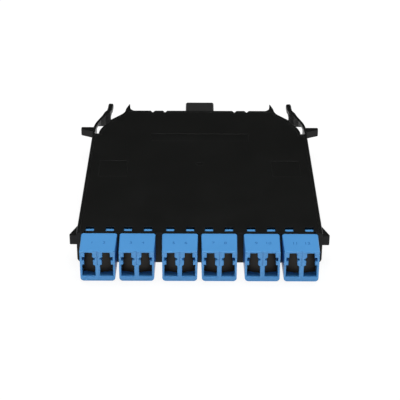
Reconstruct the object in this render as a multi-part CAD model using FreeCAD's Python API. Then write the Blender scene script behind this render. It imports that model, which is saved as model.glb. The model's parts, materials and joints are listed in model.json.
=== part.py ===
import FreeCAD, Part
import math
import os

from FreeCAD import Vector

os.makedirs("parts", exist_ok=True)

# Twelve-port fibre cassette, in millimetres, +Z up.
# The ports face -Y and the multi-fibre port faces +Y.
# The origin is on the flat underside, at the middle of the overall width and length.

# ---------------------------------------------------------------- driving dimensions

# shell
body_w = 88.5          # across the side walls
body_l = 103.0         # front wall face to rear wall face
body_h = 12.3
wall = 1.2             # floor and walls of the tray
lid_t = 1.2            # the cover is an inset plate, flush with the walls' top edges
lid_gap = 0.06         # all round the cover
lid_front_in = 1.9     # the cover's front strip stops this far inside the side walls
bottom_r = 1.7         # along the tray's lower side edges
top_r = 0.4            # along the tray's upper side edges

# duplex adapters
housing_w = 12.35      # across the front
shoulder_w = 12.85     # where they meet the tray
housing_drop = 0.1     # their tops lie this far below the tray's top edges
housing_l = 26.6
roof_t = 0.7           # over the ports
corner_r = 1.3         # along their lower edges
shoulder_cut = 0.8     # their rear corners
adapter_out = 12.6     # how far they stand out in front of the tray
middle_gap = 1.15      # between the shoulders of the two middle adapters
between_pairs = 2.35
pair_gap = 0.92
side_room = 1.7        # least space between an outer adapter and the tray's side
neck_w = 11.2          # the part behind the shoulder, which drops into the front wall
port_dx = 3.125        # half the port pitch of a duplex pair

# one port, from the bottom of its housing upwards
plug_size = 4.6        # square part, for the plug's body
lip_h = 2.0            # solid below the port
ledge_h = 1.8          # two ledges close in on the latch
ledge_gap = 3.2
notch_h = 1.25         # side notches for the latch's shoulders
notch_w = 4.55
channel_w = 2.7        # upper channel for the latch's trigger, up to the roof
key_slope = 0.5        # rise of the slanted corners on the side towards the pair's middle
key_depth = 2.05       # the keyed mouth; behind it the port is a plain chamber
mouth_bevel = 0.22

# alignment barrel inside each port
mid_depth = 13.3       # where two ferrule tips meet, from the housing's front
barrel_depth = 9.4     # the barrel's tip
barrel_wall_depth = 12.6
barrel_r = 1.3
sleeve_r = 0.80
sleeve_bore_r = 0.64
sleeve_l = 6.6
sleeve_slit = 0.2
ferrule_r = 0.625
ferrule_l = 7.2

# shutters
leaf_t = 0.3
leaf_gap = 0.08        # above and below the leaf
pivot_r = 0.16         # its ends have flat sides; along the leaf it is the rounded edge
pivot_gap = 0.04       # radial running fit in the housing
pivot_in = 0.3         # how far the pivot enters the housing
pivot_x = 2.45         # from the port's centre towards the pair's middle
pivot_depth = 2.55
leaf_slant = 12.0      # closed leaf, degrees from square across the port
spring_r = 0.42
spring_h = 0.6
spring_room = 0.05
small_sides = 8        # flat sides that stand for the round on the smallest repeated pieces
bore_sides = 8         # the same, round the ferrules

# inner plugs
plug_clear = 0.05
plug_front_depth = 17.1
plug_l = 13.0
tail_l = 5.0
tail_w = 2.2
latch_w = 2.4
latch_t = 0.6
latch_l = 8.2
latch_rise = 2.2

# multi-fibre adapter and plug at the rear
mpo_out = 9.0
mpo_in = 14.0          # length inside the rear wall's inner face
mpo_w = 12.0
mpo_z0 = 1.5
mpo_drop = 0.15        # its top lies this far below the tray's top edges
mpo_mid = 11.9         # where two ferrule faces meet, from the adapter's rear end
mpo_port_w = 9.9
mpo_port_h = 6.7
mpo_key_w = 2.6
mpo_key_h = 0.8
mpo_plug_l = 22.0
mpo_boot_l = 7.0
mpo_ferrule_w = 6.4
mpo_ferrule_h = 2.5
guide_pin_r = 0.35
guide_pin_dx = 2.3
guide_pin_in = 5.0
guide_pin_out = 2.0

# fibres
fibre_r = 0.45
fibre_bend_r = 15.0
fibre_sides = 6
fibre_lead = 1.5       # straight run behind each plug
fan_first = 0.6        # where they enter the fan-out block, from its middle outwards
fan_pitch = 1.1
fan_spread = 0.12      # the pitch grows outwards
fan_ahead = 27.5       # fan-out block's front, behind the inner plugs' tails
fan_l = 9.0
fan_h = 6.8
fan_side = 1.0         # beyond the outermost fibre
fan_straight = 1.5
ribbon_w = 3.1
ribbon_t = 0.32

# latch arms, tabs, barbs and fins
slot_back = 22.3       # slot's front end, ahead of the rear edge
slot_w = 1.65
arm_t = 0.95           # at its root, growing towards the paddle
arm_root_h = 3.75
arm_neck_h = 1.3
arm_paddle_h = 6.5
arm_reach = 7.0        # arm's tip behind the rear edge
finger_h = 2.0
tab_out = 5.1
tab_y = 6.9            # tab's rear edge, behind the slot's front end
tab_drop = 0.45        # its top lies this far below the tray's top edges
tab_h = 2.9
barb_out = 2.6
barb_l = 7.6
barb_drop = 1.6
barb_h = 3.7
corner_in = 12.55      # where the slanted corner meets the rear edge, from the side
fin_reach = 6.4        # fin's tip behind the rear edge
notch_x = (14.8, 20.0)
notch_mouth = 2.0
notch_back = 1.8

# the adapters' sprung lugs and the cover's slots over them
lug_w = 2.9
lug_l = 2.6
lug_front = 1.55       # from the front wall's face
lug_drop = 0.8
lug_dx = 3.6
lug_room = 0.1         # between a lug and its slot
slot_l = 3.0

# moulding marks on the cover
recess_t = 0.12
strip_w = 40.0
strip_l = 6.5
strip_back = 22.3      # its rear edge, ahead of the rear edge
pad_w = 11.0
pad_l = 13.1
pad_side = 4.95        # from the side
pad_back = 46.6
gate_r = 1.4
gate_back = 49.2

# ---------------------------------------------------------------- derived places

overall_l = adapter_out + body_l + mpo_out
face_y = -overall_l / 2
wall_y = face_y + adapter_out
rear_y = wall_y + body_l
half_w = body_w / 2
lid_z = body_h - lid_t
corner_x = half_w - corner_in
housing_z = 0.05
housing_top = body_h - housing_drop
port_z = housing_z + lip_h
chamber_top = housing_top - roof_t
axis_z = port_z + plug_size / 2
pivot_z0 = port_z - spring_h - pivot_in
pivot_z1 = chamber_top + pivot_in - leaf_gap
plug_tail_y = face_y + plug_front_depth + plug_l + tail_l
fan_y = plug_tail_y + fan_ahead
ribbon_y = fan_y + fan_l


def right_centres():
    """The right-hand adapters' middles: pairs, from the middle outwards, as many as there is room for."""
    middles = []
    edge = middle_gap / 2
    while edge + shoulder_w + side_room <= half_w:
        middles.append(edge + shoulder_w / 2)
        edge += shoulder_w + (between_pairs if len(middles) % 2 else pair_gap)
    return middles


centres = [-x for x in reversed(right_centres())] + right_centres()
port_axes = [(cx, side, cx + side * port_dx) for cx in centres for side in (-1, 1)]


# ---------------------------------------------------------------- helpers

def box(x0, x1, y0, y1, z0, z1):
    return Part.makeBox(x1 - x0, y1 - y0, z1 - z0, Vector(x0, y0, z0))


def rod(r, length, start, direction):
    return Part.makeCylinder(r, length, start, direction)


def many_sided(r, sides, start, direction):
    """Face with its corners at radius r, square to the direction, which is along Y or Z."""
    across = Vector(0, 0, 1) if direction.y else Vector(0, 1, 0)
    turns = [2 * math.pi * (step + 0.5) / sides for step in range(sides + 1)]
    corners = [start + Vector(1, 0, 0) * r * math.cos(turn) + across * r * math.sin(turn) for turn in turns]
    return Part.Face(Part.makePolygon(corners))


def pin(r, sides, length, start, direction):
    """Small repeated rod with flat sides that stay inside radius r."""
    return many_sided(r, sides, start, direction).extrude(direction * length)


def pin_hole(r, sides, length, start, direction):
    """Hole with flat sides that stay outside radius r, so that a pin of radius r fits in it."""
    return pin(r / math.cos(math.pi / sides), sides, length, start, direction)


def mirrored(shape):
    return shape.mirror(Vector(0, 0, 0), Vector(1, 0, 0))


def arc_from(p, q, heading):
    """Arc from p to q that leaves p in the given direction (degrees from +Y towards -X)."""
    chord = q - p
    chord_dir = math.degrees(math.atan2(-chord.x, chord.y))
    half = math.radians(chord_dir - heading)
    radius = chord.Length / (2 * math.sin(half))
    bulge = radius * (1 - math.cos(half))
    side = Vector(-chord.y, chord.x, 0).normalize()
    return Part.Arc(p, (p + q) / 2 - side * bulge, q).toShape()


def outline(steps):
    """Closed face in the XY plane: points in turn; ("arc", x, y, heading) bends to its point."""
    start = Vector(steps[0][0], steps[0][1], 0)
    here = start
    edges = []
    for step in steps[1:]:
        if step[0] == "arc":
            there = Vector(step[1], step[2], 0)
            edges.append(arc_from(here, there, step[3]))
        else:
            there = Vector(step[0], step[1], 0)
            edges.append(Part.makeLine(here, there))
        here = there
    if here.distanceToPoint(start) > 1e-6:
        edges.append(Part.makeLine(here, start))
    return Part.Face(Part.Wire(edges))


def prism(face, z0, z1):
    lifted = face.copy()
    lifted.translate(Vector(0, 0, z0))
    return lifted.extrude(Vector(0, 0, z1 - z0))


def side_prism(points, x0, x1):
    """Extrudes a (y, z) polygon along X."""
    wire = Part.makePolygon([Vector(x0, y, z) for y, z in points + points[:1]])
    return Part.Face(wire).extrude(Vector(x1 - x0, 0, 0))


def front_prism(points, y0, y1):
    """Extrudes an (x, z) polygon along Y."""
    wire = Part.makePolygon([Vector(x, y0, z) for x, z in points + points[:1]])
    return Part.Face(wire).extrude(Vector(0, y1 - y0, 0))


def edges_where(shape, test):
    return [edge for edge in shape.Edges if test(edge)]


def runs_along(edge, axis):
    ends = edge.Vertexes
    if len(ends) < 2 or edge.Curve.TypeId != "Part::GeomLine":
        return False
    along = (ends[1].Point - ends[0].Point).normalize()
    return abs(along.dot(axis)) > 0.999


def save(name, shape):
    shape = shape.removeSplitter()
    assert shape.isValid(), name
    shape.exportStep("parts/" + name + ".step")


# ---------------------------------------------------------------- tray

def body_plan():
    """The body's plan without arms and fins: long sides, curved slot flanks, slanted corners."""
    slot_y = rear_y - slot_back
    slot_x = half_w - arm_t - slot_w
    half = prism(outline([
        (0, wall_y),
        (half_w, wall_y),
        (half_w, slot_y),
        (slot_x, slot_y),
        ("arc", slot_x - 3.25, slot_y + 9.8, 0.0),
        (slot_x - 4.3, rear_y - 9.0),
        (corner_x + 1.65, rear_y - 4.0),
        ("arc", corner_x, rear_y, 38.7),
        (0, rear_y),
    ]), 0, 1)
    whole = half.fuse(mirrored(half)).removeSplitter()
    return [face for face in whole.Faces if face.BoundBox.ZMax < 0.01][0]


def body_block(z0, z1, inset=0.0):
    plan = body_plan()
    if inset:
        plan = plan.makeOffset2D(-inset, 2).Faces[0]
    return prism(plan, z0, z1)


def fin():
    """Pointed guard that carries the corner's slanted wall on past the rear edge."""
    tip_x = corner_x - 1.5
    tip_y = rear_y + fin_reach
    return prism(outline([
        (corner_x, rear_y - wall),
        (corner_x, rear_y),
        (corner_x - 0.25, rear_y + 2.2),
        (tip_x + 0.15, tip_y),
        (tip_x - 0.15, tip_y),
        (tip_x - 0.4, rear_y + 2.8),
        ("arc", tip_x - 2.2, rear_y, 178.0),
        (tip_x - 2.2, rear_y - wall),
    ]), 0, body_h)


def rear_notches():
    """V cuts that free a snap tongue on each side of the multi-fibre port."""
    cuts = []
    for x in notch_x:
        cuts.append(prism(outline([
            (x - notch_mouth / 2, rear_y + 0.1),
            (x, rear_y - notch_back),
            (x + notch_mouth / 2, rear_y + 0.1),
        ]), wall + 1.0, body_h + 0.1))
    cuts += [mirrored(cut) for cut in cuts]
    return cuts


def latch_arm():
    """Right-hand arm: a slim beam off the side wall, thin neck, deeper paddle, finger bar."""
    y0 = rear_y - slot_back
    tip_y = rear_y + arm_reach
    plan = prism(outline([
        (half_w, y0 - 2.0),
        (half_w, y0 + 4.0),
        ("arc", half_w - 1.5, y0 + 12.8, 0.0),
        (half_w - 3.0, y0 + 17.3),
        (half_w - 3.7, y0 + 20.4),
        (half_w - 4.5, y0 + 22.2),
        (half_w - 4.75, y0 + 25.3),
        (half_w - 4.8, tip_y - 0.8),
        (half_w - 5.1, tip_y - 0.15),
        (half_w - 5.8, tip_y),
        (half_w - 6.8, tip_y - 0.3),
        (half_w - 7.05, tip_y - 1.0),
        (half_w - 6.9, y0 + 24.0),
        (half_w - 6.1, y0 + 21.3),
        (half_w - 4.3, y0 + 17.5),
        (half_w - 2.6, y0 + 13.0),
        ("arc", half_w - arm_t, y0 + 2.3, -163.0),
        (half_w - arm_t, y0 - 2.0),
    ]), 0, body_h)
    finger_z = body_h - finger_h
    neck_z = body_h - arm_neck_h
    paddle_z = body_h - arm_paddle_h
    root_z = body_h - arm_root_h
    side = side_prism([
        (y0 - 2.1, root_z),
        (y0 + tab_y, root_z),
        (y0 + tab_y + 0.2, neck_z),
        (y0 + 9.3, neck_z),
        (y0 + 20.4, paddle_z),
        (y0 + 21.7, paddle_z),
        (y0 + 21.9, finger_z - 0.8),
        (y0 + 22.7, finger_z),
        (tip_y + 1, finger_z),
        (tip_y + 1, body_h),
        (y0 - 2.1, body_h),
    ], half_w - 12, half_w + 2)
    arm = plan.common(side)
    rims = edges_where(arm, lambda e: e.BoundBox.YMin > y0 + 22.6 and e.BoundBox.ZLength < 0.01
                       and e.BoundBox.YLength > 1.0)
    return arm.makeChamfer(0.35, rims)


def side_tab():
    y1 = rear_y - slot_back + tab_y
    tab = prism(outline([
        (half_w - 0.6, y1 - 4.6),
        (half_w + tab_out, y1 - 1.8),
        (half_w + tab_out, y1),
        (half_w - 0.6, y1),
    ]), body_h - tab_drop - tab_h, body_h - tab_drop)
    tip = edges_where(tab, lambda e: e.BoundBox.XMin > half_w + tab_out - 0.01)
    return tab.makeChamfer(0.2, tip)


def front_barb():
    y0 = wall_y + 0.8
    return prism(outline([
        (half_w - 0.6, y0),
        (half_w + barb_out - 0.3, y0),
        (half_w + barb_out, y0 + 0.3),
        (half_w + barb_out, y0 + 0.8),
        (half_w, y0 + barb_l),
        (half_w - 0.6, y0 + barb_l),
    ]), body_h - barb_drop - barb_h, body_h - barb_drop)


def tray_cutouts():
    """U-shaped seats for the adapters, the cover's front seat and the rear adapter's window."""
    cuts = []
    for x in centres:
        half = neck_w / 2 + 0.05
        cuts.append(box(x - half, x + half, wall_y - 1, wall_y + wall + 1, wall, body_h + 1))
    half = half_w - wall - lid_front_in + lid_gap
    cuts.append(box(-half, half, wall_y - 1, wall_y + wall + 1, lid_z, body_h + 1))
    half = mpo_w / 2 - 0.55
    cuts.append(box(-half, half, rear_y - wall - 1, rear_y + 1, mpo_z0 + 0.4, lid_z))
    return cuts


def tray_ribs():
    """Cover ledges along the sides, cradle walls at the rear and a stop behind each adapter."""
    ledge_x = half_w - wall
    cradle_x = mpo_w / 2 + 0.1
    cradle_y = rear_y - wall - mpo_in
    ribs = [box(ledge_x - 0.8, ledge_x, wall_y + 20, rear_y - slot_back - 4, wall, lid_z),
            box(cradle_x, cradle_x + 1.0, cradle_y, rear_y - wall, wall, mpo_z0 + 6.0)]
    ribs += [mirrored(rib) for rib in ribs]
    stop_y = face_y + housing_l + 0.1
    return ribs + [box(x - 0.7, x + 0.7, stop_y, stop_y + 1.0, wall, axis_z + 1.65) for x in centres]


def bottom_rounding():
    """Rounds the right-hand lower edge of the side wall."""
    y0 = wall_y - 1
    y1 = rear_y - slot_back + 1
    corner = box(half_w - bottom_r, half_w + 1, y0, y1, -1, bottom_r)
    return corner.cut(rod(bottom_r, y1 - y0, Vector(half_w - bottom_r, y0, bottom_r), Vector(0, 1, 0)))


def base_tray():
    tray = body_block(0, body_h)
    top_sides = edges_where(tray, lambda e: e.BoundBox.ZMin > body_h - 0.01
                            and abs(e.BoundBox.Center.x) > half_w - 0.01
                            and runs_along(e, Vector(0, 1, 0)))
    tray = tray.makeFillet(top_r, top_sides)
    tray = tray.cut(body_block(wall, body_h + 1, wall))
    outer = [side_tab(), front_barb(), fin(), latch_arm()]
    outer += [mirrored(piece) for piece in outer]
    tray = tray.multiFuse(outer + tray_ribs())
    cuts = tray_cutouts() + rear_notches() + [bottom_rounding(), mirrored(bottom_rounding())]
    for cut in cuts:
        tray = tray.cut(cut)
    return tray


# ---------------------------------------------------------------- cover

def cover_recesses():
    """A shallow strip towards the rear, two shallow pads and the round mark of the mould's gate."""
    z0 = body_h - recess_t
    strip_y = rear_y - strip_back
    pad_x = half_w - pad_side
    pad_y = rear_y - pad_back
    pad = box(pad_x - pad_w, pad_x, pad_y - pad_l, pad_y, z0, body_h + 1)
    gate = pin(gate_r, 3 * bore_sides, 1, Vector(0, rear_y - gate_back, z0), Vector(0, 0, 1))
    return [box(-strip_w / 2, strip_w / 2, strip_y - strip_l, strip_y, z0, body_h + 1),
            pad, mirrored(pad), gate]


def top_cover():
    cover = body_block(lid_z, body_h, wall + lid_gap)
    half = half_w - wall - lid_front_in
    front = box(-half, half, wall_y, wall_y + wall + 1, lid_z, body_h)
    cover = cover.fuse(front).removeSplitter()
    half = lug_w / 2 + lug_room
    y0 = wall_y + lug_front - lug_room
    slots = [box(x + dx - half, x + dx + half, y0, y0 + slot_l, lid_z - 1, body_h + 1)
             for x in centres for dx in (-lug_dx, lug_dx)]
    for cut in slots + rear_notches() + cover_recesses():
        cover = cover.cut(cut)
    return cover


# ---------------------------------------------------------------- adapters

def key_side(slope):
    """One side of the keyed mouth, upwards: (distance from the port's centre, z)."""
    z1 = port_z + plug_size
    z2 = z1 + ledge_h
    z3 = z2 + notch_h
    return [(plug_size / 2, port_z), (plug_size / 2, z1 - slope), (ledge_gap / 2, z1), (ledge_gap / 2, z2),
            (notch_w / 2, z2 + slope), (notch_w / 2, z3 - slope), (channel_w / 2, z3),
            (channel_w / 2, chamber_top)]


def key_profile(x, side):
    """The keyed mouth as (x, z) points: square corners outwards, slanted ones towards the middle."""
    return ([(x + side * half, z) for half, z in key_side(0.0)]
            + [(x - side * half, z) for half, z in reversed(key_side(key_slope))])


def port_cuts(cx, side):
    """Everything cut out of a housing for one port; side is +1 or -1 from the pair's middle."""
    along = Vector(0, 1, 0)
    up = Vector(0, 0, 1)
    x = cx + side * port_dx
    inner = x - side * (pivot_x + pivot_r + pivot_gap)
    outer = x + side * plug_size / 2
    x0, x1 = min(inner, outer), max(inner, outer)
    chamber = box(x0, x1, face_y + key_depth, face_y + barrel_wall_depth, port_z, chamber_top)
    barrel_l = barrel_wall_depth - barrel_depth + 1
    barrel = pin(barrel_r, bore_sides, barrel_l, Vector(x, face_y + barrel_depth, axis_z), along)
    rear_y0 = face_y + plug_front_depth - plug_clear
    rear_y1 = face_y + housing_l + 1
    half = plug_size / 2
    socket = box(x - half, x + half, rear_y0, rear_y1, port_z, port_z + plug_size)
    latch_room = box(x - latch_w / 2 - 0.3, x + latch_w / 2 + 0.3, rear_y0, rear_y1, port_z + plug_size,
                     axis_z + plug_size / 2 + latch_rise + 0.35)
    bore_start = Vector(x, face_y + barrel_depth - 1, axis_z)
    bore = pin_hole(sleeve_r + 0.02, bore_sides, rear_y0 - bore_start.y + 1, bore_start, along)
    pivot = Vector(x - side * pivot_x, face_y + pivot_depth, pivot_z0 - 0.1)
    pivot_hole = pin_hole(pivot_r + pivot_gap, small_sides, pivot_z1 - pivot_z0 + 0.2, pivot, up)
    spring_start = Vector(pivot.x, pivot.y, port_z - spring_h)
    spring_well = pin_hole(spring_r + spring_room, small_sides, spring_h + 0.1, spring_start, up)
    mouth = front_prism(key_profile(x, side), face_y - 1, face_y + key_depth + 0.1)
    return [chamber.cut(barrel), socket, latch_room, bore, pivot_hole, spring_well, mouth]


def lugs(cx):
    """Two sprung lugs that click up into the cover's slots; their tops slope."""
    y0 = wall_y + lug_front
    top = body_h - lug_drop
    wedge = [(y0, lid_z - 1.0), (y0 + lug_l, lid_z - 1.0), (y0 + lug_l, top), (y0, top - 0.1)]
    return [side_prism(wedge, cx + dx - lug_w / 2, cx + dx + lug_w / 2) for dx in (-lug_dx, lug_dx)]


def housing_head(cx):
    """The part in front of the tray, a little wider at the shoulder, with rounded lower edges."""
    front = housing_w / 2
    back = shoulder_w / 2
    cut_y = wall_y - shoulder_cut
    head = prism(outline([(cx - front, face_y), (cx + front, face_y),
                          (cx + back, wall_y), (cx - back, wall_y)]), housing_z, housing_top)
    long_low = edges_where(head, lambda e: e.BoundBox.YLength > 5 and e.BoundBox.ZMax < 1)
    head = head.makeFillet(corner_r, long_low)
    for side in (-1, 1):
        corner = [(back + 1, cut_y), (back, cut_y), (back - 0.3 * shoulder_cut, wall_y - 0.3 * shoulder_cut),
                  (back - shoulder_cut, wall_y), (back - shoulder_cut, wall_y + 1), (back + 1, wall_y + 1)]
        head = head.cut(prism(outline([(cx + side * x, y) for x, y in corner]), 0, body_h))
    rim = edges_where(head, lambda e: e.BoundBox.ZMin > housing_top - 0.01)
    return head.makeChamfer(0.2, rim)


def adapter_housing(cx):
    half = neck_w / 2
    neck = box(cx - half, cx + half, wall_y - 0.5, face_y + housing_l, wall + 0.05, lid_z - 0.05)
    housing = housing_head(cx).multiFuse([neck] + lugs(cx)).removeSplitter()
    for side in (-1, 1):
        for cut in port_cuts(cx, side):
            housing = housing.cut(cut)
    groove = box(cx - 0.12, cx + 0.12, face_y - 1, face_y + 0.25, port_z + plug_size, body_h)
    housing = housing.cut(groove)
    mouths = edges_where(housing, lambda e: e.BoundBox.YMax < face_y + 0.01
                         and 0.3 < abs(e.BoundBox.Center.x - cx) < housing_w / 2 - 0.4
                         and e.BoundBox.ZMin > port_z - 0.01
                         and e.BoundBox.ZMax < chamber_top + 0.01)
    return housing.makeChamfer(mouth_bevel, mouths)


# ---------------------------------------------------------------- shutters

def shutter(cx, side):
    """Leaf with a rounded hinge edge and a pivot at each end of it; modelled shut, leaning inwards."""
    z0, z1 = port_z + leaf_gap, chamber_top - leaf_gap
    reach = (pivot_x + plug_size / 2 - 0.15) / math.cos(math.radians(leaf_slant))
    up = Vector(0, 0, 1)
    leaf = box(0, reach, -pivot_r, leaf_t - pivot_r, z0, z1)
    edge = rod(pivot_r, z1 - z0, Vector(0, 0, z0), up).common(box(-1, 0, -1, leaf_t - pivot_r, z0, z1))
    lower = pin(pivot_r * 0.99, small_sides, z0 - pivot_z0, Vector(0, 0, pivot_z0), up)
    upper = pin(pivot_r * 0.99, small_sides, pivot_z1 - z1, Vector(0, 0, z1), up)
    blade = leaf.multiFuse([edge, lower, upper]).removeSplitter()
    blade.rotate(Vector(0, 0, 0), up, leaf_slant)
    if side < 0:
        blade = mirrored(blade)
    blade.translate(Vector(cx + side * (port_dx - pivot_x), face_y + pivot_depth, 0))
    return blade


def shutter_springs():
    """One small torsion coil round each lower pivot, drawn as the coil's outer form."""
    up = Vector(0, 0, 1)
    rings = []
    for cx, side, _ in port_axes:
        foot = Vector(cx + side * (port_dx - pivot_x), face_y + pivot_depth, port_z - spring_h)
        ring = pin(spring_r, small_sides, spring_h - 0.05, foot, up)
        rings.append(ring.cut(pin_hole(pivot_r + pivot_gap, small_sides, spring_h, foot, up)))
    return Part.makeCompound(rings)


# ---------------------------------------------------------------- inner connectors

def split_sleeves():
    along = Vector(0, 1, 0)
    sleeves = []
    for _, _, x in port_axes:
        start = Vector(x, face_y + mid_depth - sleeve_l / 2, axis_z)
        tube = pin(sleeve_r, bore_sides, sleeve_l, start, along)
        tube = tube.cut(pin_hole(sleeve_bore_r, bore_sides, sleeve_l, start, along))
        slit = box(x - sleeve_slit / 2, x + sleeve_slit / 2, start.y, start.y + sleeve_l,
                   axis_z, axis_z + 1)
        sleeves.append(tube.cut(slit))
    return Part.makeCompound(sleeves)


def ferrules():
    along = Vector(0, 1, 0)
    return Part.makeCompound([
        pin(ferrule_r, bore_sides, ferrule_l, Vector(x, face_y + mid_depth, axis_z), along)
        for _, _, x in port_axes])


def inner_plug(x):
    """Plug body with its ferrule bore, sprung latch and narrow tail for the fibre."""
    half = plug_size / 2 - plug_clear
    y0 = face_y + plug_front_depth
    y1 = y0 + plug_l
    z0 = axis_z - half
    z1 = axis_z + half
    body = box(x - half, x + half, y0, y1, z0, z1)
    latch_y = y0 + latch_l
    latch_z = z1 + latch_rise
    latch = side_prism([(y0 + 1.2, z1 - 0.3), (latch_y, latch_z), (latch_y, latch_z - latch_t),
                        (y0 + 3.4, z1 - 0.3)], x - latch_w / 2, x + latch_w / 2)
    tail = box(x - tail_w / 2, x + tail_w / 2, y1, y1 + tail_l, axis_z - tail_w / 2, axis_z + tail_w / 2)
    tail = tail.makeChamfer(0.7, edges_where(tail, lambda e: e.BoundBox.YMin > y1 + tail_l - 0.01))
    bore = pin_hole(ferrule_r + 0.01, bore_sides, face_y + mid_depth + ferrule_l - y0,
                    Vector(x, y0, axis_z), Vector(0, 1, 0))
    return body.multiFuse([latch, tail]).cut(bore)


# ---------------------------------------------------------------- fibres

def fan_place(rank):
    """Where a fibre enters the fan-out block, from its middle; rank 0 is the innermost fibre."""
    return fan_first + fan_pitch * rank + fan_spread * rank ** 2


def fibre(x, rank):
    """Straight lead, one bend towards the fan-out block, straight run into it; for x > 0."""
    start = Vector(x, plug_tail_y, axis_z)
    end = Vector(fan_place(rank), fan_y, axis_z)
    bend_in = start + Vector(0, fibre_lead, 0)
    centre = bend_in - Vector(fibre_bend_r, 0, 0)
    to_end = end - centre
    turn = math.degrees(math.atan2(to_end.y, to_end.x) - math.acos(fibre_bend_r / to_end.Length))
    lead = pin(fibre_r, fibre_sides, fibre_lead, start, Vector(0, 1, 0))
    section = many_sided(fibre_r, fibre_sides, bend_in, Vector(0, 1, 0))
    bend = section.revolve(centre, Vector(0, 0, 1), turn)
    section.rotate(centre, Vector(0, 0, 1), turn)
    heading = Vector(-math.sin(math.radians(turn)), math.cos(math.radians(turn)), 0)
    run_l = math.sqrt(to_end.Length ** 2 - fibre_bend_r ** 2)
    tube = lead.multiFuse([bend, section.extrude(heading * (run_l + 1))])
    tube = tube.cut(box(0, half_w, fan_y, fan_y + 2, 0, body_h))
    path_l = fibre_lead + math.radians(turn) * fibre_bend_r + run_l
    fill = tube.Volume / (section.Area * path_l)
    print("fibre", rank, "bend radius", fibre_bend_r, "turn", round(turn, 1),
          "volume over section times length", round(fill, 3))
    return tube


def fan_block():
    """Takes the buffered fibres across its wide front and lets the flat ribbon out behind."""
    half = fan_place(len(port_axes) // 2 - 1) + fan_side
    tail = ribbon_w / 2 + 0.8
    shoulder_y = fan_y + fan_straight
    return prism(outline([(-half, fan_y), (half, fan_y), (half, shoulder_y), (tail, ribbon_y),
                          (-tail, ribbon_y), (-half, shoulder_y)]), wall, wall + fan_h)


# ---------------------------------------------------------------- multi-fibre connector

mpo_z1 = body_h - mpo_drop
mpo_axis_z = (mpo_z0 + mpo_z1) / 2 - 0.25
mpo_front_y = rear_y - wall - mpo_in
mpo_end_y = rear_y + mpo_out
mpo_mid_y = mpo_end_y - mpo_mid


def mpo_cavity(y0, y1, grow=0.0):
    w = mpo_port_w / 2 + grow
    h = mpo_port_h / 2 + grow
    key = mpo_key_w / 2 + grow
    top = mpo_axis_z + h + mpo_key_h
    return front_prism([(-w, mpo_axis_z - h), (w, mpo_axis_z - h), (w, mpo_axis_z + h),
                        (key, mpo_axis_z + h), (key, top), (-key, top),
                        (-key, mpo_axis_z + h), (-w, mpo_axis_z + h)], y0, y1)


def mpo_adapter():
    half = mpo_w / 2
    rear = box(-half, half, rear_y, mpo_end_y, mpo_z0, mpo_z1)
    rear = rear.makeFillet(0.9, edges_where(rear, lambda e: runs_along(e, Vector(0, 0, 1))
                                            and e.BoundBox.YMin > mpo_end_y - 0.01))
    rear = rear.makeChamfer(0.35, edges_where(rear, lambda e: runs_along(e, Vector(0, 1, 0))))
    inner_half = half - 0.6
    inner = box(-inner_half, inner_half, mpo_front_y, rear_y + 0.5, mpo_z0 + 0.45, lid_z - 0.05)
    shell = rear.fuse(inner).removeSplitter()
    shell = shell.cut(mpo_cavity(mpo_mid_y + 1.0, mpo_end_y + 1))
    shell = shell.cut(mpo_cavity(mpo_front_y - 1, mpo_mid_y - 1.0))
    window = box(-mpo_ferrule_w / 2 - 0.3, mpo_ferrule_w / 2 + 0.3, mpo_mid_y - 2, mpo_mid_y + 2,
                 mpo_axis_z - mpo_ferrule_h / 2 - 0.3, mpo_axis_z + mpo_ferrule_h / 2 + 0.3)
    return shell.cut(window)


def mpo_plug():
    y1 = mpo_mid_y - 1.1
    y0 = y1 - mpo_plug_l
    w = mpo_port_w / 2 - 0.1
    h = mpo_port_h / 2 - 0.1
    body = box(-w, w, y0, y1, mpo_axis_z - h, mpo_axis_z + h)
    key = box(-mpo_key_w / 2 + 0.1, mpo_key_w / 2 - 0.1, y0 + 6, y1, mpo_axis_z + h,
              mpo_axis_z + h + mpo_key_h - 0.1)
    ferrule_room = box(-mpo_ferrule_w / 2 - 0.05, mpo_ferrule_w / 2 + 0.05, y1 - 6, y1 + 1,
                       mpo_axis_z - mpo_ferrule_h / 2 - 0.05, mpo_axis_z + mpo_ferrule_h / 2 + 0.05)
    return body.fuse(key).cut(ferrule_room)


def mpo_ferrule():
    y1 = mpo_mid_y
    y0 = mpo_mid_y - 7.0
    body = box(-mpo_ferrule_w / 2, mpo_ferrule_w / 2, y0, y1,
               mpo_axis_z - mpo_ferrule_h / 2, mpo_axis_z + mpo_ferrule_h / 2)
    for x in (-guide_pin_dx, guide_pin_dx):
        start = Vector(x, y1 - guide_pin_in, mpo_axis_z)
        body = body.cut(pin_hole(guide_pin_r, bore_sides, guide_pin_in + 1, start, Vector(0, 1, 0)))
    return body


def guide_pins():
    pins = []
    for x in (-guide_pin_dx, guide_pin_dx):
        start = Vector(x, mpo_mid_y - guide_pin_in, mpo_axis_z)
        steel = pin(guide_pin_r, bore_sides, guide_pin_in + guide_pin_out, start, Vector(0, 1, 0))
        tip = edges_where(steel, lambda e: e.BoundBox.YMin > mpo_mid_y + guide_pin_out - 0.1)
        pins.append(steel.makeChamfer(0.15, tip))
    return Part.makeCompound(pins)


def mpo_boot():
    """Soft boot behind the plug, tapering in width and in height."""
    y1 = mpo_mid_y - 1.1 - mpo_plug_l
    y0 = y1 - mpo_boot_l
    across = side_prism([(y1, mpo_axis_z - 2.2), (y1, mpo_axis_z + 2.2), (y0, mpo_axis_z + 1.0),
                         (y0, mpo_axis_z - 1.0)], -mpo_w, mpo_w)
    return across.common(prism(outline([(-3.6, y1), (3.6, y1), (2.4, y0), (-2.4, y0)]), 0, body_h))


def ribbon():
    y1 = mpo_mid_y - 1.1 - mpo_plug_l - mpo_boot_l
    half = ribbon_t / 2
    return box(-ribbon_w / 2, ribbon_w / 2, ribbon_y, y1, mpo_axis_z - half, mpo_axis_z + half)


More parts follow.
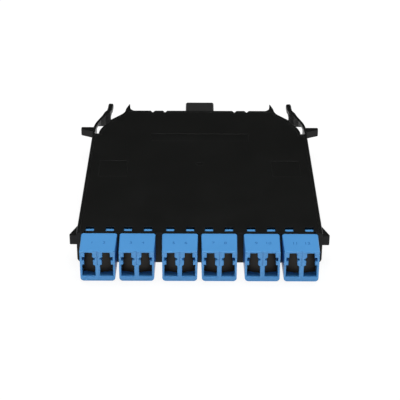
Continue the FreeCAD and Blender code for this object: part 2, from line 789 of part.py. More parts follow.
# ---------------------------------------------------------------- all pieces

save("base_tray", base_tray())
save("top_cover", top_cover())
for number, cx in enumerate(centres, 1):
    save("adapter_housing_%d" % number, adapter_housing(cx))
right_hand = len(port_axes) // 2
for number, (cx, side, x) in enumerate(port_axes, 1):
    save("shutter_%02d" % number, shutter(cx, side))
    save("inner_plug_%02d" % number, inner_plug(x))
    rank = number - right_hand - 1 if x > 0 else right_hand - number
    tube = fibre(abs(x), rank)
    save("fibre_%02d" % number, tube if x > 0 else mirrored(tube))
save("shutter_springs", shutter_springs())
save("split_sleeves", split_sleeves())
save("ferrules", ferrules())
save("fan_out_block", fan_block())
save("ribbon", ribbon())
save("multi_adapter", mpo_adapter())
save("multi_plug", mpo_plug())
save("multi_ferrule", mpo_ferrule())
save("guide_pins", guide_pins())
save("multi_boot", mpo_boot())
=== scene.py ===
"""Fibre breakout cassette: black moulded shell, blue duplex adapters, rear multi-fibre port."""

import json
import math

import bpy
from mathutils import Matrix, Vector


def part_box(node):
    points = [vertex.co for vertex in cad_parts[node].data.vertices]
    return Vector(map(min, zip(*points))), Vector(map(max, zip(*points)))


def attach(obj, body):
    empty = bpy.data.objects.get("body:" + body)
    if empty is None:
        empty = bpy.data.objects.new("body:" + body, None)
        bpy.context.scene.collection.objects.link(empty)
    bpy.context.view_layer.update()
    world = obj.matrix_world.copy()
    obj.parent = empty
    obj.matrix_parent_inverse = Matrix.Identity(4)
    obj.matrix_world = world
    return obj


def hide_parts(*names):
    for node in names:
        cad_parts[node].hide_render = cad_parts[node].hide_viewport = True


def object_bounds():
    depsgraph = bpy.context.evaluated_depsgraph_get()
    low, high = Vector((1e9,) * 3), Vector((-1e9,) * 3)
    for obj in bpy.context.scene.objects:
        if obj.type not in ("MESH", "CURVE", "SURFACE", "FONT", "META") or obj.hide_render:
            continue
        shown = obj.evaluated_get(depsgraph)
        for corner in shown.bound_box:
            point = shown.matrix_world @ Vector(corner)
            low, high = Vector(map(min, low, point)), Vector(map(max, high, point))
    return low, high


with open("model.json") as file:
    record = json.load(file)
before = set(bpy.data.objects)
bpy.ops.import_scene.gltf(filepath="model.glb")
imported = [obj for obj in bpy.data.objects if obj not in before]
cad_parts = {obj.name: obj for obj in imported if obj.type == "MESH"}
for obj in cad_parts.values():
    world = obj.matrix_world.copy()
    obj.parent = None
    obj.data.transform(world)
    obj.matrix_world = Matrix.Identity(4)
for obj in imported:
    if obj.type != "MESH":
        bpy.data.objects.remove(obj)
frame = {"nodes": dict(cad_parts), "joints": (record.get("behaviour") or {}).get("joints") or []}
cad_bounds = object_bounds()
nodes = frame["nodes"]
mm = 0.001


# ---------------------------------------------------------------- base tray and cover
# The shell's two halves, injection moulded in black flame-retardant plastic. The tray has its
# latch arms, tabs, barbs and fins in one with it, and the cover snaps down flush between its walls.
# The mould leaves a fine eroded grain, faint flow marks and edges that are softly rounded.

def add_socket(group, name, direction, kind, default=None):
    socket = group.interface.new_socket(name=name, in_out=direction, socket_type=kind)
    if default is not None:
        socket.default_value = default


def link(tree, source, output, target, entry):
    tree.links.new(source.outputs[output], target.inputs[entry])


def make_moulded_finish():
    """Node group for every moulded plastic: grain height, flow-marked colour and roughness."""
    group = bpy.data.node_groups.new("moulded_finish", "ShaderNodeTree")
    add_socket(group, "Colour", "INPUT", "NodeSocketColor", (0.5, 0.5, 0.5, 1))
    add_socket(group, "Shade swing", "INPUT", "NodeSocketFloat", 0.08)
    add_socket(group, "Roughness", "INPUT", "NodeSocketFloat", 0.45)
    add_socket(group, "Roughness swing", "INPUT", "NodeSocketFloat", 0.08)
    add_socket(group, "Grain scale", "INPUT", "NodeSocketFloat", 6000.0)
    add_socket(group, "Colour", "OUTPUT", "NodeSocketColor")
    add_socket(group, "Roughness", "OUTPUT", "NodeSocketFloat")
    add_socket(group, "Height", "OUTPUT", "NodeSocketFloat")
    add = group.nodes.new
    given = add("NodeGroupInput")
    result = add("NodeGroupOutput")
    place = add("ShaderNodeTexCoord")

    grain = add("ShaderNodeTexNoise")
    grain.inputs["Detail"].default_value = 2.0
    grain.inputs["Roughness"].default_value = 0.6
    link(group, place, "Object", grain, "Vector")
    link(group, given, "Grain scale", grain, "Scale")
    link(group, grain, "Fac", result, "Height")

    flow = add("ShaderNodeTexNoise")
    flow.inputs["Scale"].default_value = 70.0
    flow.inputs["Detail"].default_value = 3.0
    flow.inputs["Distortion"].default_value = 0.8
    link(group, place, "Object", flow, "Vector")
    centred = add("ShaderNodeMath")
    centred.operation = "SUBTRACT"
    centred.inputs[1].default_value = 0.5
    link(group, flow, "Fac", centred, 0)

    shade = add("ShaderNodeMath")
    shade.operation = "MULTIPLY_ADD"
    shade.inputs[2].default_value = 1.0
    link(group, centred, "Value", shade, 0)
    link(group, given, "Shade swing", shade, 1)
    tinted = add("ShaderNodeHueSaturation")
    link(group, given, "Colour", tinted, "Color")
    link(group, shade, "Value", tinted, "Value")
    link(group, tinted, "Color", result, "Colour")

    polish = add("ShaderNodeMath")
    polish.operation = "MULTIPLY_ADD"
    link(group, centred, "Value", polish, 0)
    link(group, given, "Roughness swing", polish, 1)
    link(group, given, "Roughness", polish, 2)
    link(group, polish, "Value", result, "Roughness")
    return group


moulded_finish = make_moulded_finish()


def moulded_plastic(name, colour, roughness, grain_scale, grain_depth, edge_radius,
                    shade_swing=0.08, shine=0.5):
    """Material of one moulded piece; grain_depth and edge_radius in metres."""
    material = bpy.data.materials.new(name)
    material.use_nodes = True
    tree = material.node_tree
    shader = tree.nodes["Principled BSDF"]
    shader.inputs["Specular IOR Level"].default_value = shine
    finish = tree.nodes.new("ShaderNodeGroup")
    finish.node_tree = moulded_finish
    finish.inputs["Colour"].default_value = (*colour, 1)
    finish.inputs["Shade swing"].default_value = shade_swing
    finish.inputs["Roughness"].default_value = roughness
    finish.inputs["Grain scale"].default_value = grain_scale
    soft_edge = tree.nodes.new("ShaderNodeBevel")
    soft_edge.samples = 6
    soft_edge.inputs["Radius"].default_value = edge_radius
    relief = tree.nodes.new("ShaderNodeBump")
    relief.inputs["Distance"].default_value = grain_depth
    link(tree, finish, "Colour", shader, "Base Color")
    link(tree, finish, "Roughness", shader, "Roughness")
    link(tree, finish, "Height", relief, "Height")
    link(tree, soft_edge, "Normal", relief, "Normal")
    link(tree, relief, "Normal", shader, "Normal")
    return material


def dress(names, material):
    for name in names:
        for slot in nodes[name].material_slots:
            slot.material = material


def numbered(stem, count, digits=2):
    return [f"{stem}_{number:0{digits}d}" for number in range(1, count + 1)]


def settle(piece):
    """Leaves a finished piece's object at the origin, with its place in its mesh."""
    bpy.ops.object.select_all(action="DESELECT")
    piece.select_set(True)
    bpy.context.view_layer.objects.active = piece
    bpy.ops.object.transform_apply(location=True, rotation=True, scale=True)


shell_black = moulded_plastic("shell_black", (0.0023, 0.0025, 0.0020), 0.32, 5500.0, 0.004 * mm,
                              0.18 * mm, shade_swing=0.25, shine=0.25)
dress(["base_tray", "top_cover"], shell_black)


# ---------------------------------------------------------------- duplex adapters
# Six blue housings, each one moulding with two keyed ports side by side and two sprung lugs that
# click up through the cover. The blue is a solid satin colour with a shallow grain.

adapter_names = numbered("adapter_housing", 6, 1)
adapter_blue = moulded_plastic("adapter_blue", (0.070, 0.30, 0.66), 0.34, 7000.0, 0.003 * mm,
                               0.15 * mm, shine=0.6)
dress(adapter_names, adapter_blue)


# ---------------------------------------------------------------- port numbers
# Plain numbers, one over each port, raised a few hundredths of a millimetre by the same mould
# as the housing they stand on. Their polished faces are a darker blue: painted shade of the marks.

double_d = 0.001 * mm          # points nearer than this are one point
digit_size = 2.25 * mm         # font size; a figure is about 0.7 of it high
digit_rise = 0.07 * mm
digit_sunk = 0.02 * mm         # of the text's thickness, inside the housing's top
digit_dx = 2.15 * mm
digit_back = 5.2 * mm          # from the housing's front face to the figures' foot
# darker blue than the housing's: painted shade in the figures, which are the housing's own plastic
number_painted_shade_blue = moulded_plastic("number_painted_shade_blue", (0.045, 0.205, 0.50), 0.26, 9000.0, 0.001 * mm, 0.03 * mm)

for index, adapter in enumerate(adapter_names):
    low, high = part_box(adapter)
    middle = (low.x + high.x) / 2
    for side in (-1, 1):
        number = 2 * index + (1 if side < 0 else 2)
        thickness = digit_rise + digit_sunk
        bpy.ops.object.select_all(action="DESELECT")
        bpy.ops.object.text_add(location=(middle + side * digit_dx, low.y + digit_back,
                                          high.z - digit_sunk + thickness / 2))
        figures = bpy.context.object
        figures.name = f"port_number_{number:02d}"
        figures.data.body = str(number)
        figures.data.align_x = "CENTER"
        figures.data.size = digit_size
        figures.data.extrude = thickness / 2
        figures.data.resolution_u = 4
        bpy.ops.object.convert(target="MESH")
        settle(figures)
        bpy.ops.object.mode_set(mode="EDIT")
        bpy.ops.mesh.select_all(action="SELECT")
        bpy.ops.mesh.remove_doubles(threshold=double_d)
        bpy.ops.mesh.normals_make_consistent(inside=False)
        bpy.ops.mesh.dissolve_limited(angle_limit=math.radians(0.5))
        bpy.ops.object.mode_set(mode="OBJECT")
        figures.data.materials.clear()
        figures.data.materials.append(number_painted_shade_blue)
        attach(figures, "shell")


# ---------------------------------------------------------------- shutters
# A dark hinged leaf behind each port keeps dust out until a plug pushes it aside. Each is moulded
# with its knuckle and pivot ends in a smoother finish than the shell.

shutter_names = numbered("shutter", 12)
shutter_dark = moulded_plastic("shutter_dark", (0.0130, 0.0100, 0.0066), 0.42, 8000.0, 0.002 * mm,
                               0.06 * mm, shine=0.26)
dress(shutter_names, shutter_dark)


# ---------------------------------------------------------------- shutter springs
# A small torsion coil round each leaf's lower pivot, wound from bright drawn steel wire. It sits
# in a round pocket under the port's floor and pushes the leaf shut.

def drawn_steel(name, colour, roughness, streak_scale):
    material = bpy.data.materials.new(name)
    material.use_nodes = True
    tree = material.node_tree
    shader = tree.nodes["Principled BSDF"]
    shader.inputs["Metallic"].default_value = 1.0
    shader.inputs["Base Color"].default_value = (*colour, 1)
    place = tree.nodes.new("ShaderNodeTexCoord")
    stretch = tree.nodes.new("ShaderNodeMapping")
    stretch.inputs["Scale"].default_value = streak_scale
    streaks = tree.nodes.new("ShaderNodeTexNoise")
    streaks.inputs["Scale"].default_value = 1.0
    streaks.inputs["Detail"].default_value = 4.0
    spread = tree.nodes.new("ShaderNodeMapRange")
    spread.inputs["To Min"].default_value = roughness - 0.08
    spread.inputs["To Max"].default_value = roughness + 0.12
    link(tree, place, "Object", stretch, "Vector")
    link(tree, stretch, "Vector", streaks, "Vector")
    link(tree, streaks, "Fac", spread, "Value")
    link(tree, spread, "Result", shader, "Roughness")
    return material


def apply_modifiers(piece):
    for modifier in list(piece.modifiers):
        bpy.ops.object.modifier_apply(modifier=modifier.name)


def close_ends(sides):
    """In edit mode: closes the open rings of a tube and points every face outwards."""
    bpy.ops.mesh.select_all(action="SELECT")
    bpy.ops.mesh.fill_holes(sides=sides)
    bpy.ops.mesh.normals_make_consistent(inside=False)
    bpy.ops.object.mode_set(mode="OBJECT")


def copy_along(piece, name, offset):
    """A twin of a settled piece with its own mesh, moved by an offset."""
    twin = piece.copy()
    twin.data = piece.data.copy()
    twin.name = name
    bpy.context.scene.collection.objects.link(twin)
    twin.data.transform(Matrix.Translation(offset))
    return twin


wire_d = 0.10 * mm
wire_sides = 10
coil_turns = 4
coil_steps = 24
coil_out_r = 0.42 * mm
spring_low, spring_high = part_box("shutter_springs")
coil_r = coil_out_r - wire_d / 2
first_pivot = frame["joints"][0]["pos_m"]
bpy.ops.object.select_all(action="DESELECT")
bpy.ops.mesh.primitive_circle_add(vertices=wire_sides, radius=wire_d / 2, rotation=(math.pi / 2, 0, 0),
                                  location=(coil_r, 0, 0))
coil = bpy.context.object
settle(coil)
winding = coil.modifiers.new("winding", "SCREW")
winding.angle = 2 * math.pi
winding.iterations = coil_turns
winding.steps = winding.render_steps = coil_steps
winding.screw_offset = (spring_high.z - spring_low.z - wire_d) / coil_turns
apply_modifiers(coil)
bpy.ops.object.mode_set(mode="EDIT")
close_ends(wire_sides)
bpy.ops.object.shade_smooth_by_angle(angle=math.radians(50))
coil.location = (first_pivot[0], first_pivot[1], spring_low.z + wire_d / 2)
settle(coil)
coil.data.materials.append(drawn_steel("spring_steel", (0.62, 0.61, 0.58), 0.30, (900, 900, 16000)))
coils = [coil]
for joint in frame["joints"][1:]:
    x, y, _ = joint["pos_m"]
    coils.append(copy_along(coil, "coil", (x - first_pivot[0], y - first_pivot[1], 0)))
for piece, name in zip(coils, numbered("shutter_spring", len(coils))):
    piece.name = name
    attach(piece, "shell")
    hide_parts("shutter_springs")


# ---------------------------------------------------------------- sleeves and ferrules
# Fired zirconia, ground white and polished: the split sleeves in the port barrels and the ferrule
# in the nose of each inner plug.

def fired_ceramic(name, colour, roughness):
    material = bpy.data.materials.new(name)
    material.use_nodes = True
    tree = material.node_tree
    shader = tree.nodes["Principled BSDF"]
    place = tree.nodes.new("ShaderNodeTexCoord")
    cloud = tree.nodes.new("ShaderNodeTexNoise")
    cloud.inputs["Scale"].default_value = 900.0
    tone = tree.nodes.new("ShaderNodeValToRGB")
    tone.color_ramp.elements[0].color = (*[c * 0.94 for c in colour], 1)
    tone.color_ramp.elements[1].color = (*colour, 1)
    gloss = tree.nodes.new("ShaderNodeMapRange")
    gloss.inputs["To Min"].default_value = roughness * 0.8
    gloss.inputs["To Max"].default_value = roughness * 1.2
    link(tree, place, "Object", cloud, "Vector")
    link(tree, cloud, "Fac", tone, "Fac")
    link(tree, tone, "Color", shader, "Base Color")
    link(tree, cloud, "Fac", gloss, "Value")
    link(tree, gloss, "Result", shader, "Roughness")
    return material


def polished_glass(name, darkest, lightest):
    material = bpy.data.materials.new(name)
    material.use_nodes = True
    tree = material.node_tree
    shader = tree.nodes["Principled BSDF"]
    shader.inputs["Roughness"].default_value = 0.06
    place = tree.nodes.new("ShaderNodeTexCoord")
    haze = tree.nodes.new("ShaderNodeTexNoise")
    haze.inputs["Scale"].default_value = 20000.0
    tone = tree.nodes.new("ShaderNodeValToRGB")
    tone.color_ramp.elements[0].color = (*darkest, 1)
    tone.color_ramp.elements[1].color = (*lightest, 1)
    link(tree, place, "Object", haze, "Vector")
    link(tree, haze, "Fac", tone, "Fac")
    link(tree, tone, "Color", shader, "Base Color")
    return material


def select_faces(piece, wanted):
    """Ends in edit mode with only the wanted faces selected; wanted reads a face at rest."""
    bpy.ops.object.mode_set(mode="EDIT")
    bpy.ops.mesh.select_mode(type="FACE")
    bpy.ops.mesh.select_all(action="DESELECT")
    bpy.ops.object.mode_set(mode="OBJECT")
    for face in piece.data.polygons:
        face.select = wanted(face)
    bpy.ops.object.mode_set(mode="EDIT")


def middle_of(node):
    low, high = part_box(node)
    return (low + high) / 2


plug_names = numbered("inner_plug", 12)
port_x = [middle_of(name).x for name in plug_names]
round_sides = 48

sleeve_r = 0.80 * mm
sleeve_wall = 0.16 * mm
sleeve_slit = 0.20 * mm
sleeve_edge = 0.03 * mm        # ground chamfer
sleeve_low, sleeve_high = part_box("split_sleeves")
sleeve_middle = (sleeve_low + sleeve_high) / 2
bpy.ops.object.select_all(action="DESELECT")
bpy.ops.mesh.primitive_cylinder_add(vertices=round_sides, radius=sleeve_r, end_fill_type="NOTHING",
                                    depth=sleeve_high.y - sleeve_low.y, rotation=(math.pi / 2, 0, 0))
sleeve = bpy.context.object
settle(sleeve)
select_faces(sleeve, lambda face: face.center.z > 0 and abs(face.center.x) < sleeve_slit / 2)
bpy.ops.mesh.delete(type="FACE")
bpy.ops.object.mode_set(mode="OBJECT")
wall = sleeve.modifiers.new("wall", "SOLIDIFY")
wall.thickness = sleeve_wall
wall.offset = -1
ground = sleeve.modifiers.new("ground_edges", "BEVEL")
ground.width = sleeve_edge
ground.segments = 2
ground.limit_method = "ANGLE"
apply_modifiers(sleeve)
bpy.ops.object.shade_smooth_by_angle(angle=math.radians(35))
sleeve.location = (port_x[0], sleeve_middle.y, sleeve_middle.z)
settle(sleeve)
sleeve.data.materials.append(fired_ceramic("sleeve_ceramic", (0.83, 0.82, 0.77), 0.22))
sleeves = [sleeve] + [copy_along(sleeve, "sleeve", (x - port_x[0], 0, 0)) for x in port_x[1:]]
for piece, name in zip(sleeves, numbered("split_sleeve", len(sleeves))):
    piece.name = name
    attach(piece, "shell")
    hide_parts("split_sleeves")

ferrule_r = 0.625 * mm
nose_chamfer = 0.14 * mm
core_r = 0.0625 * mm
ferrule_low, ferrule_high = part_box("ferrules")
ferrule_middle = (ferrule_low + ferrule_high) / 2
bpy.ops.object.select_all(action="DESELECT")
bpy.ops.mesh.primitive_cylinder_add(vertices=round_sides, radius=ferrule_r,
                                    depth=ferrule_high.y - ferrule_low.y, rotation=(math.pi / 2, 0, 0))
ferrule = bpy.context.object
settle(ferrule)
ferrule.data.materials.append(fired_ceramic("ferrule_ceramic", (0.86, 0.85, 0.82), 0.16))
ferrule.data.materials.append(polished_glass("glass_core", (0.030, 0.035, 0.045), (0.055, 0.060, 0.070)))
nose_y = -(ferrule_high.y - ferrule_low.y) / 2
select_faces(ferrule, lambda face: face.normal.y < -0.9)
bpy.ops.mesh.bevel(offset=nose_chamfer, segments=2, affect="EDGES")
select_faces(ferrule, lambda face: face.center.y < nose_y + double_d and face.area > ferrule_r ** 2)
bpy.ops.mesh.inset(thickness=ferrule_r - nose_chamfer - core_r)
bpy.context.object.active_material_index = 1
bpy.ops.object.material_slot_assign()
bpy.ops.object.mode_set(mode="OBJECT")
bpy.ops.object.shade_smooth_by_angle(angle=math.radians(35))
ferrule.location = (port_x[0], ferrule_middle.y, ferrule_middle.z)
settle(ferrule)
ferrule_set = [ferrule] + [copy_along(ferrule, "ferrule", (x - port_x[0], 0, 0)) for x in port_x[1:]]
for piece, name in zip(ferrule_set, numbered("ferrule", len(ferrule_set))):
    piece.name = name
    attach(piece, "shell")
    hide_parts("ferrules")


# ---------------------------------------------------------------- inner plugs
# One blue plug on the inner side of each port, moulded in one with its latch and a tapered tail
# that holds the fibre's jacket.

dress(plug_names,
      moulded_plastic("plug_blue", (0.06, 0.24, 0.56), 0.38, 7000.0, 0.002 * mm, 0.12 * mm))


# ---------------------------------------------------------------- fibres
# Tight-buffered fibres, one colour of the usual twelve on each, from the plugs to the fan-out
# block; the jackets are smooth extruded plastic.

jacket_colours = {
    "blue": (0.02, 0.12, 0.60), "orange": (0.85, 0.22, 0.02), "green": (0.03, 0.38, 0.08),
    "brown": (0.17, 0.08, 0.035), "slate": (0.22, 0.24, 0.27), "white": (0.80, 0.80, 0.78),
    "red": (0.60, 0.02, 0.02), "black": (0.015, 0.015, 0.015), "yellow": (0.85, 0.62, 0.03),
    "violet": (0.26, 0.07, 0.40), "rose": (0.80, 0.33, 0.42), "aqua": (0.05, 0.58, 0.60),
}
fibre_r = 0.45 * mm
fibre_sides = 20
fibre_lead = 1.5 * mm          # straight run behind the plug's tail
bend_r = 15.0 * mm
bend_steps = 14
seated = 0.6 * mm              # of the fibre's end, inside the fan-out block
fan_first = 0.6 * mm           # innermost fibre, from the block's middle
fan_pitch = 1.1 * mm
fan_spread = 0.12 * mm         # the pitch grows outwards


def fan_place(rank):
    """Where a fibre enters the block, from its middle; rank 0 is the innermost fibre."""
    return fan_first + fan_pitch * rank + fan_spread * rank ** 2


def buffered_fibre(name, x, rank):
    """Straight lead, one bend towards the fan-out block, straight run into it."""
    side = math.copysign(1, x)
    tail_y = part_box(plug_names[0])[1].y
    bend_y = tail_y + fibre_lead
    centre_x = abs(x) - bend_r
    to_x = fan_place(rank) - centre_x
    to_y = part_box("fan_out_block")[0].y - bend_y
    reach = math.hypot(to_x, to_y)
    turn = math.atan2(to_y, to_x) - math.acos(bend_r / reach)
    run = math.sqrt(reach ** 2 - bend_r ** 2) + seated
    bpy.ops.object.select_all(action="DESELECT")
    bpy.ops.mesh.primitive_circle_add(vertices=fibre_sides, radius=fibre_r, rotation=(math.pi / 2, 0, 0),
                                      location=(x, tail_y, ferrule_middle.z))
    tube = bpy.context.object
    tube.name = name
    settle(tube)
    bpy.ops.object.mode_set(mode="EDIT")
    bpy.ops.mesh.select_mode(type="EDGE")
    bpy.ops.mesh.select_all(action="SELECT")
    bpy.ops.mesh.extrude_region_move(TRANSFORM_OT_translate={"value": (0, fibre_lead, 0)})
    bpy.ops.mesh.spin(steps=bend_steps, angle=-side * turn, axis=(0, 0, 1),
                      center=(side * centre_x, bend_y, ferrule_middle.z))
    heading = (-side * math.sin(turn) * run, math.cos(turn) * run, 0)
    bpy.ops.mesh.extrude_region_move(TRANSFORM_OT_translate={"value": heading})
    close_ends(fibre_sides)
    bpy.ops.object.shade_smooth_by_angle(angle=math.radians(50))
    return tube


for number, (x, node, colour_name) in enumerate(zip(port_x, numbered("fibre", 12), jacket_colours)):
    tube = buffered_fibre(f"buffered_fibre_{colour_name}", x, number - 6 if x > 0 else 5 - number)
    tube.data.materials.append(moulded_plastic(f"fibre_{colour_name}", jacket_colours[colour_name], 0.32,
                                               3000.0, 0.002 * mm, 0.03 * mm, shade_swing=0.12))
    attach(tube, "shell")
    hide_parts(node)


# ---------------------------------------------------------------- fan-out block and ribbon
# The block clamps the buffered fibres and lets the flat ribbon out behind; its body is black.
# The ribbon is twelve coated fibres bonded side by side in a clear aqua matrix.

dress(["fan_out_block"],
      moulded_plastic("fan_out_black", (0.02, 0.02, 0.02), 0.45, 5000.0, 0.004 * mm, 0.15 * mm))
ribbon_fibres = 12
lobe_steps = 6                 # faces across one fibre's crown
valley_share = 0.72            # height between two fibres, of the crown's
ribbon_low, ribbon_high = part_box("ribbon")
ribbon_middle = (ribbon_low + ribbon_high) / 2
ribbon_w = ribbon_high.x - ribbon_low.x
ribbon_l = ribbon_high.y - ribbon_low.y + 2 * seated
crown = (ribbon_high.z - ribbon_low.z) / 2
pitch = ribbon_w / ribbon_fibres
bpy.ops.object.select_all(action="DESELECT")
bpy.ops.mesh.primitive_grid_add(x_subdivisions=ribbon_fibres * lobe_steps, y_subdivisions=1, size=2)
ribbon = bpy.context.object
ribbon.name = "twelve_fibre_ribbon"
ribbon.scale = (ribbon_w / 2, ribbon_l / 2, 1)
settle(ribbon)
for vertex in ribbon.data.vertices:
    across = ((vertex.co.x + ribbon_w / 2) / pitch) % 1.0 * 2 - 1
    vertex.co.z = crown * (valley_share + (1 - valley_share) * math.sqrt(max(0.0, 1 - across ** 2)))
    if ribbon_w / 2 - abs(vertex.co.x) < pitch * 0.01:
        vertex.co.z = 0
bpy.ops.object.mode_set(mode="EDIT")
bpy.ops.mesh.select_all(action="SELECT")
bpy.ops.mesh.duplicate()
bpy.ops.transform.mirror(constraint_axis=(False, False, True), center_override=(0, 0, 0))
bpy.ops.mesh.select_all(action="SELECT")
bpy.ops.mesh.remove_doubles(threshold=double_d)
close_ends(2 * ribbon_fibres * lobe_steps)
bpy.ops.object.shade_smooth_by_angle(angle=math.radians(30))
ribbon.location = ribbon_middle
settle(ribbon)
ribbon.data.materials.append(moulded_plastic("ribbon_aqua", (0.08, 0.46, 0.50), 0.30, 3000.0,
                                             0.002 * mm, 0.02 * mm))
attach(ribbon, "shell")
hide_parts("ribbon")


# ---------------------------------------------------------------- multi-fibre adapter and plug
# The rear adapter is a black moulding that stands through the rear wall. The plug inside it has a
# green housing, a soft black boot over the ribbon and a dark filled-resin ferrule, whose face holds
# two ground steel pins and twelve polished fibre ends, a few microns proud.

dress(["multi_adapter"],
      moulded_plastic("multi_black", (0.008, 0.008, 0.0075), 0.40, 6500.0, 0.003 * mm, 0.15 * mm))
dress(["multi_plug"],
      moulded_plastic("multi_plug_green", (0.04, 0.26, 0.11), 0.40, 7000.0, 0.003 * mm, 0.12 * mm))
dress(["multi_ferrule"],
      moulded_plastic("multi_ferrule_dark", (0.035, 0.033, 0.03), 0.30, 9000.0, 0.001 * mm, 0.05 * mm))
dress(["multi_boot"],
      moulded_plastic("boot_black", (0.013, 0.013, 0.013), 0.62, 4000.0, 0.006 * mm, 0.2 * mm))
dress(["guide_pins"], drawn_steel("guide_pin_steel", (0.72, 0.72, 0.71), 0.22, (9000, 600, 9000)))

fibre_end_pitch = 0.25 * mm
fibre_end_proud = 0.006 * mm
fibre_end_l = 0.04 * mm        # the rest of it is inside the ferrule
fibre_end_edge = 0.003 * mm    # rounded by polishing
ferrule_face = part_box("multi_ferrule")[1].y
end_y = ferrule_face + fibre_end_proud - fibre_end_l / 2
first_x = -fibre_end_pitch * (ribbon_fibres - 1) / 2
bpy.ops.object.select_all(action="DESELECT")
bpy.ops.mesh.primitive_cylinder_add(vertices=24, radius=core_r, depth=fibre_end_l,
                                    rotation=(math.pi / 2, 0, 0),
                                    location=(first_x, end_y, middle_of("multi_ferrule").z))
fibre_end = bpy.context.object
settle(fibre_end)
select_faces(fibre_end, lambda face: face.normal.y > 0.9)
bpy.ops.mesh.bevel(offset=fibre_end_edge, segments=2, affect="EDGES")
bpy.ops.object.mode_set(mode="OBJECT")
bpy.ops.object.shade_smooth_by_angle(angle=math.radians(35))
fibre_end.data.materials.append(polished_glass("fibre_end_glass", (0.42, 0.46, 0.50), (0.58, 0.61, 0.64)))
fibre_end.name = "ribbon_fibre_ends"
for step in range(1, ribbon_fibres):
    copy_along(fibre_end, "fibre_end", (step * fibre_end_pitch, 0, 0)).select_set(True)
fibre_end.select_set(True)
bpy.context.view_layer.objects.active = fibre_end
bpy.ops.object.join()
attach(fibre_end, "shell")


# ---------------------------------------------------------------- floor and studio
# A plain white sweep. What a camera, gloss or glass sees of it is white, with a faint shadow left;
# everything else sees a matt pale floor lit by the lamps. From below, the paper is clear, so the
# tray's underside shows.

def seen_directly(tree):
    """1 for rays from the camera, a reflection or through glass; 0 for diffuse light."""
    path = tree.nodes.new("ShaderNodeLightPath")
    first = tree.nodes.new("ShaderNodeMath")
    first.operation = "MAXIMUM"
    both = tree.nodes.new("ShaderNodeMath")
    both.operation = "MAXIMUM"
    link(tree, path, "Is Camera Ray", first, 0)
    link(tree, path, "Is Glossy Ray", first, 1)
    link(tree, first, "Value", both, 0)
    link(tree, path, "Is Transmission Ray", both, 1)
    return both


floor_size = 6.0
floor_gap = 0.02 * mm          # under the tray, so that its underside stays its own
shadow_reach = 0.12            # within this distance the paper is least white
pure_white_from = 0.30
least_white = 0.85             # leaves the faint shadow
bpy.ops.object.select_all(action="DESELECT")
bpy.ops.mesh.primitive_plane_add(size=floor_size, location=(0, 0, cad_bounds[0].z - floor_gap))
floor = bpy.context.object
floor.name = "floor"
paper = bpy.data.materials.new("floor_paper")
paper.use_nodes = True
paper_tree = paper.node_tree
matt = paper_tree.nodes["Principled BSDF"]
matt.inputs["Base Color"].default_value = (0.92, 0.92, 0.92, 1)
matt.inputs["Roughness"].default_value = 0.9
matt.inputs["Specular IOR Level"].default_value = 0.1
glow = paper_tree.nodes.new("ShaderNodeEmission")
glow.inputs["Strength"].default_value = 1.05
floor_place = paper_tree.nodes.new("ShaderNodeTexCoord")
reach = paper_tree.nodes.new("ShaderNodeVectorMath")
reach.operation = "LENGTH"
whitening = paper_tree.nodes.new("ShaderNodeMapRange")
whitening.inputs["From Min"].default_value = shadow_reach
whitening.inputs["From Max"].default_value = pure_white_from
whitening.inputs["To Min"].default_value = least_white
whitening.inputs["To Max"].default_value = 1.0
white_share = paper_tree.nodes.new("ShaderNodeMath")
white_share.operation = "MULTIPLY"
link(paper_tree, floor_place, "Object", reach, 0)
link(paper_tree, reach, "Value", whitening, "Value")
link(paper_tree, seen_directly(paper_tree), "Value", white_share, 0)
link(paper_tree, whitening, "Result", white_share, 1)
paper_mix = paper_tree.nodes.new("ShaderNodeMixShader")
link(paper_tree, white_share, "Value", paper_mix, "Fac")
paper_tree.links.new(matt.outputs["BSDF"], paper_mix.inputs[1])
paper_tree.links.new(glow.outputs["Emission"], paper_mix.inputs[2])
underneath = paper_tree.nodes.new("ShaderNodeNewGeometry")
unseen = paper_tree.nodes.new("ShaderNodeBsdfTransparent")
top_only = paper_tree.nodes.new("ShaderNodeMixShader")
link(paper_tree, underneath, "Backfacing", top_only, "Fac")
paper_tree.links.new(paper_mix.outputs["Shader"], top_only.inputs[1])
paper_tree.links.new(unseen.outputs["BSDF"], top_only.inputs[2])
paper_tree.links.new(top_only.outputs["Shader"], paper_tree.nodes["Material Output"].inputs["Surface"])
floor.data.materials.append(paper)

band_top = math.radians(8)     # gloss sees the wall of the sweep in a low band over the floor
band_foot = math.radians(1)
world = bpy.data.worlds.new("studio")
bpy.context.scene.world = world
world.use_nodes = True
sky = world.node_tree
room = sky.nodes["Background"]
room.inputs["Color"].default_value = (0.93, 0.96, 1.0, 1)
room.inputs["Strength"].default_value = 0.03
sweep = sky.nodes.new("ShaderNodeBackground")
sweep.inputs["Color"].default_value = (1, 1, 1, 1)
sweep.inputs["Strength"].default_value = 1.0
direction = sky.nodes.new("ShaderNodeTexCoord")
split = sky.nodes.new("ShaderNodeSeparateXYZ")
low_band = sky.nodes.new("ShaderNodeMapRange")
low_band.inputs["From Min"].default_value = math.sin(band_top)
low_band.inputs["From Max"].default_value = math.sin(band_foot)
link(sky, direction, "Generated", split, "Vector")
link(sky, split, "Z", low_band, "Value")
ray = sky.nodes.new("ShaderNodeLightPath")
mirrored_ray = sky.nodes.new("ShaderNodeMath")
mirrored_ray.operation = "MAXIMUM"
link(sky, ray, "Is Glossy Ray", mirrored_ray, 0)
link(sky, ray, "Is Transmission Ray", mirrored_ray, 1)
low_mirrored = sky.nodes.new("ShaderNodeMath")
low_mirrored.operation = "MULTIPLY"
link(sky, mirrored_ray, "Value", low_mirrored, 0)
link(sky, low_band, "Result", low_mirrored, 1)
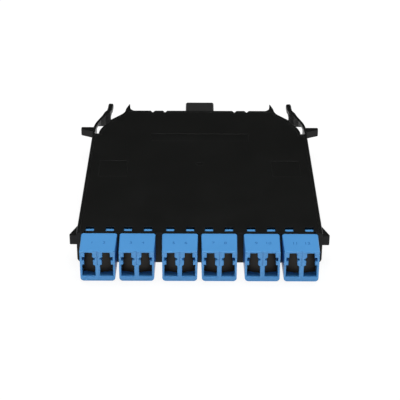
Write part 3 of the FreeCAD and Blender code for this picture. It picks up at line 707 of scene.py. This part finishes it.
white_seen = sky.nodes.new("ShaderNodeMath")
white_seen.operation = "MAXIMUM"
link(sky, ray, "Is Camera Ray", white_seen, 0)
link(sky, low_mirrored, "Value", white_seen, 1)
sky_mix = sky.nodes.new("ShaderNodeMixShader")
link(sky, white_seen, "Value", sky_mix, "Fac")
sky.links.new(room.outputs["Background"], sky_mix.inputs[1])
sky.links.new(sweep.outputs["Background"], sky_mix.inputs[2])
sky.links.new(sky_mix.outputs["Shader"], sky.nodes["World Output"].inputs["Surface"])


def soft_box(name, location, aim, width, depth, power, glints=True):
    """Area lamp at a place in metres, turned towards a point; glints says if gloss mirrors it."""
    data = bpy.data.lights.new(name, "AREA")
    data.shape = "RECTANGLE"
    data.size = width
    data.size_y = depth
    data.energy = power
    lamp = bpy.data.objects.new(name, data)
    bpy.context.scene.collection.objects.link(lamp)
    lamp.location = location
    gap = [a - b for a, b in zip(aim, location)]
    flat = math.hypot(gap[0], gap[1])
    lamp.rotation_euler = (math.pi / 2 + math.atan2(gap[2], flat), 0, math.atan2(-gap[0], gap[1]))
    lamp.visible_glossy = glints
    return lamp


soft_box("overhead_box", (0.0, 0.12, 0.75), (0, 0, 0), 0.9, 0.7, 7.5)
soft_box("front_box", (-0.1, -0.9, 0.10), (0, 0, 0.01), 0.6, 0.2, 2.6, glints=False)
soft_box("side_box", (0.7, -0.3, 0.45), (0, 0, 0.01), 0.4, 0.4, 0.8, glints=False)


# ---------------------------------------------------------------- camera
# A long lens from in front and above. It looks down along the cover, whose depth is foreshortened,
# and into the mouths of the ports.

camera_place = (-0.90 * mm, -450.8 * mm, 249.0 * mm)
camera_tilt = 60.918
camera_roll = -0.25
camera_data = bpy.data.cameras.new("camera")
camera_data.sensor_width = 36.0
camera_data.lens = 116.9
camera = bpy.data.objects.new("camera", camera_data)
camera.location = camera_place
camera.rotation_euler = (math.radians(camera_tilt), math.radians(camera_roll), 0)
bpy.context.scene.collection.objects.link(camera)
bpy.context.scene.camera = camera
bpy.context.scene.view_settings.view_transform = "Standard"
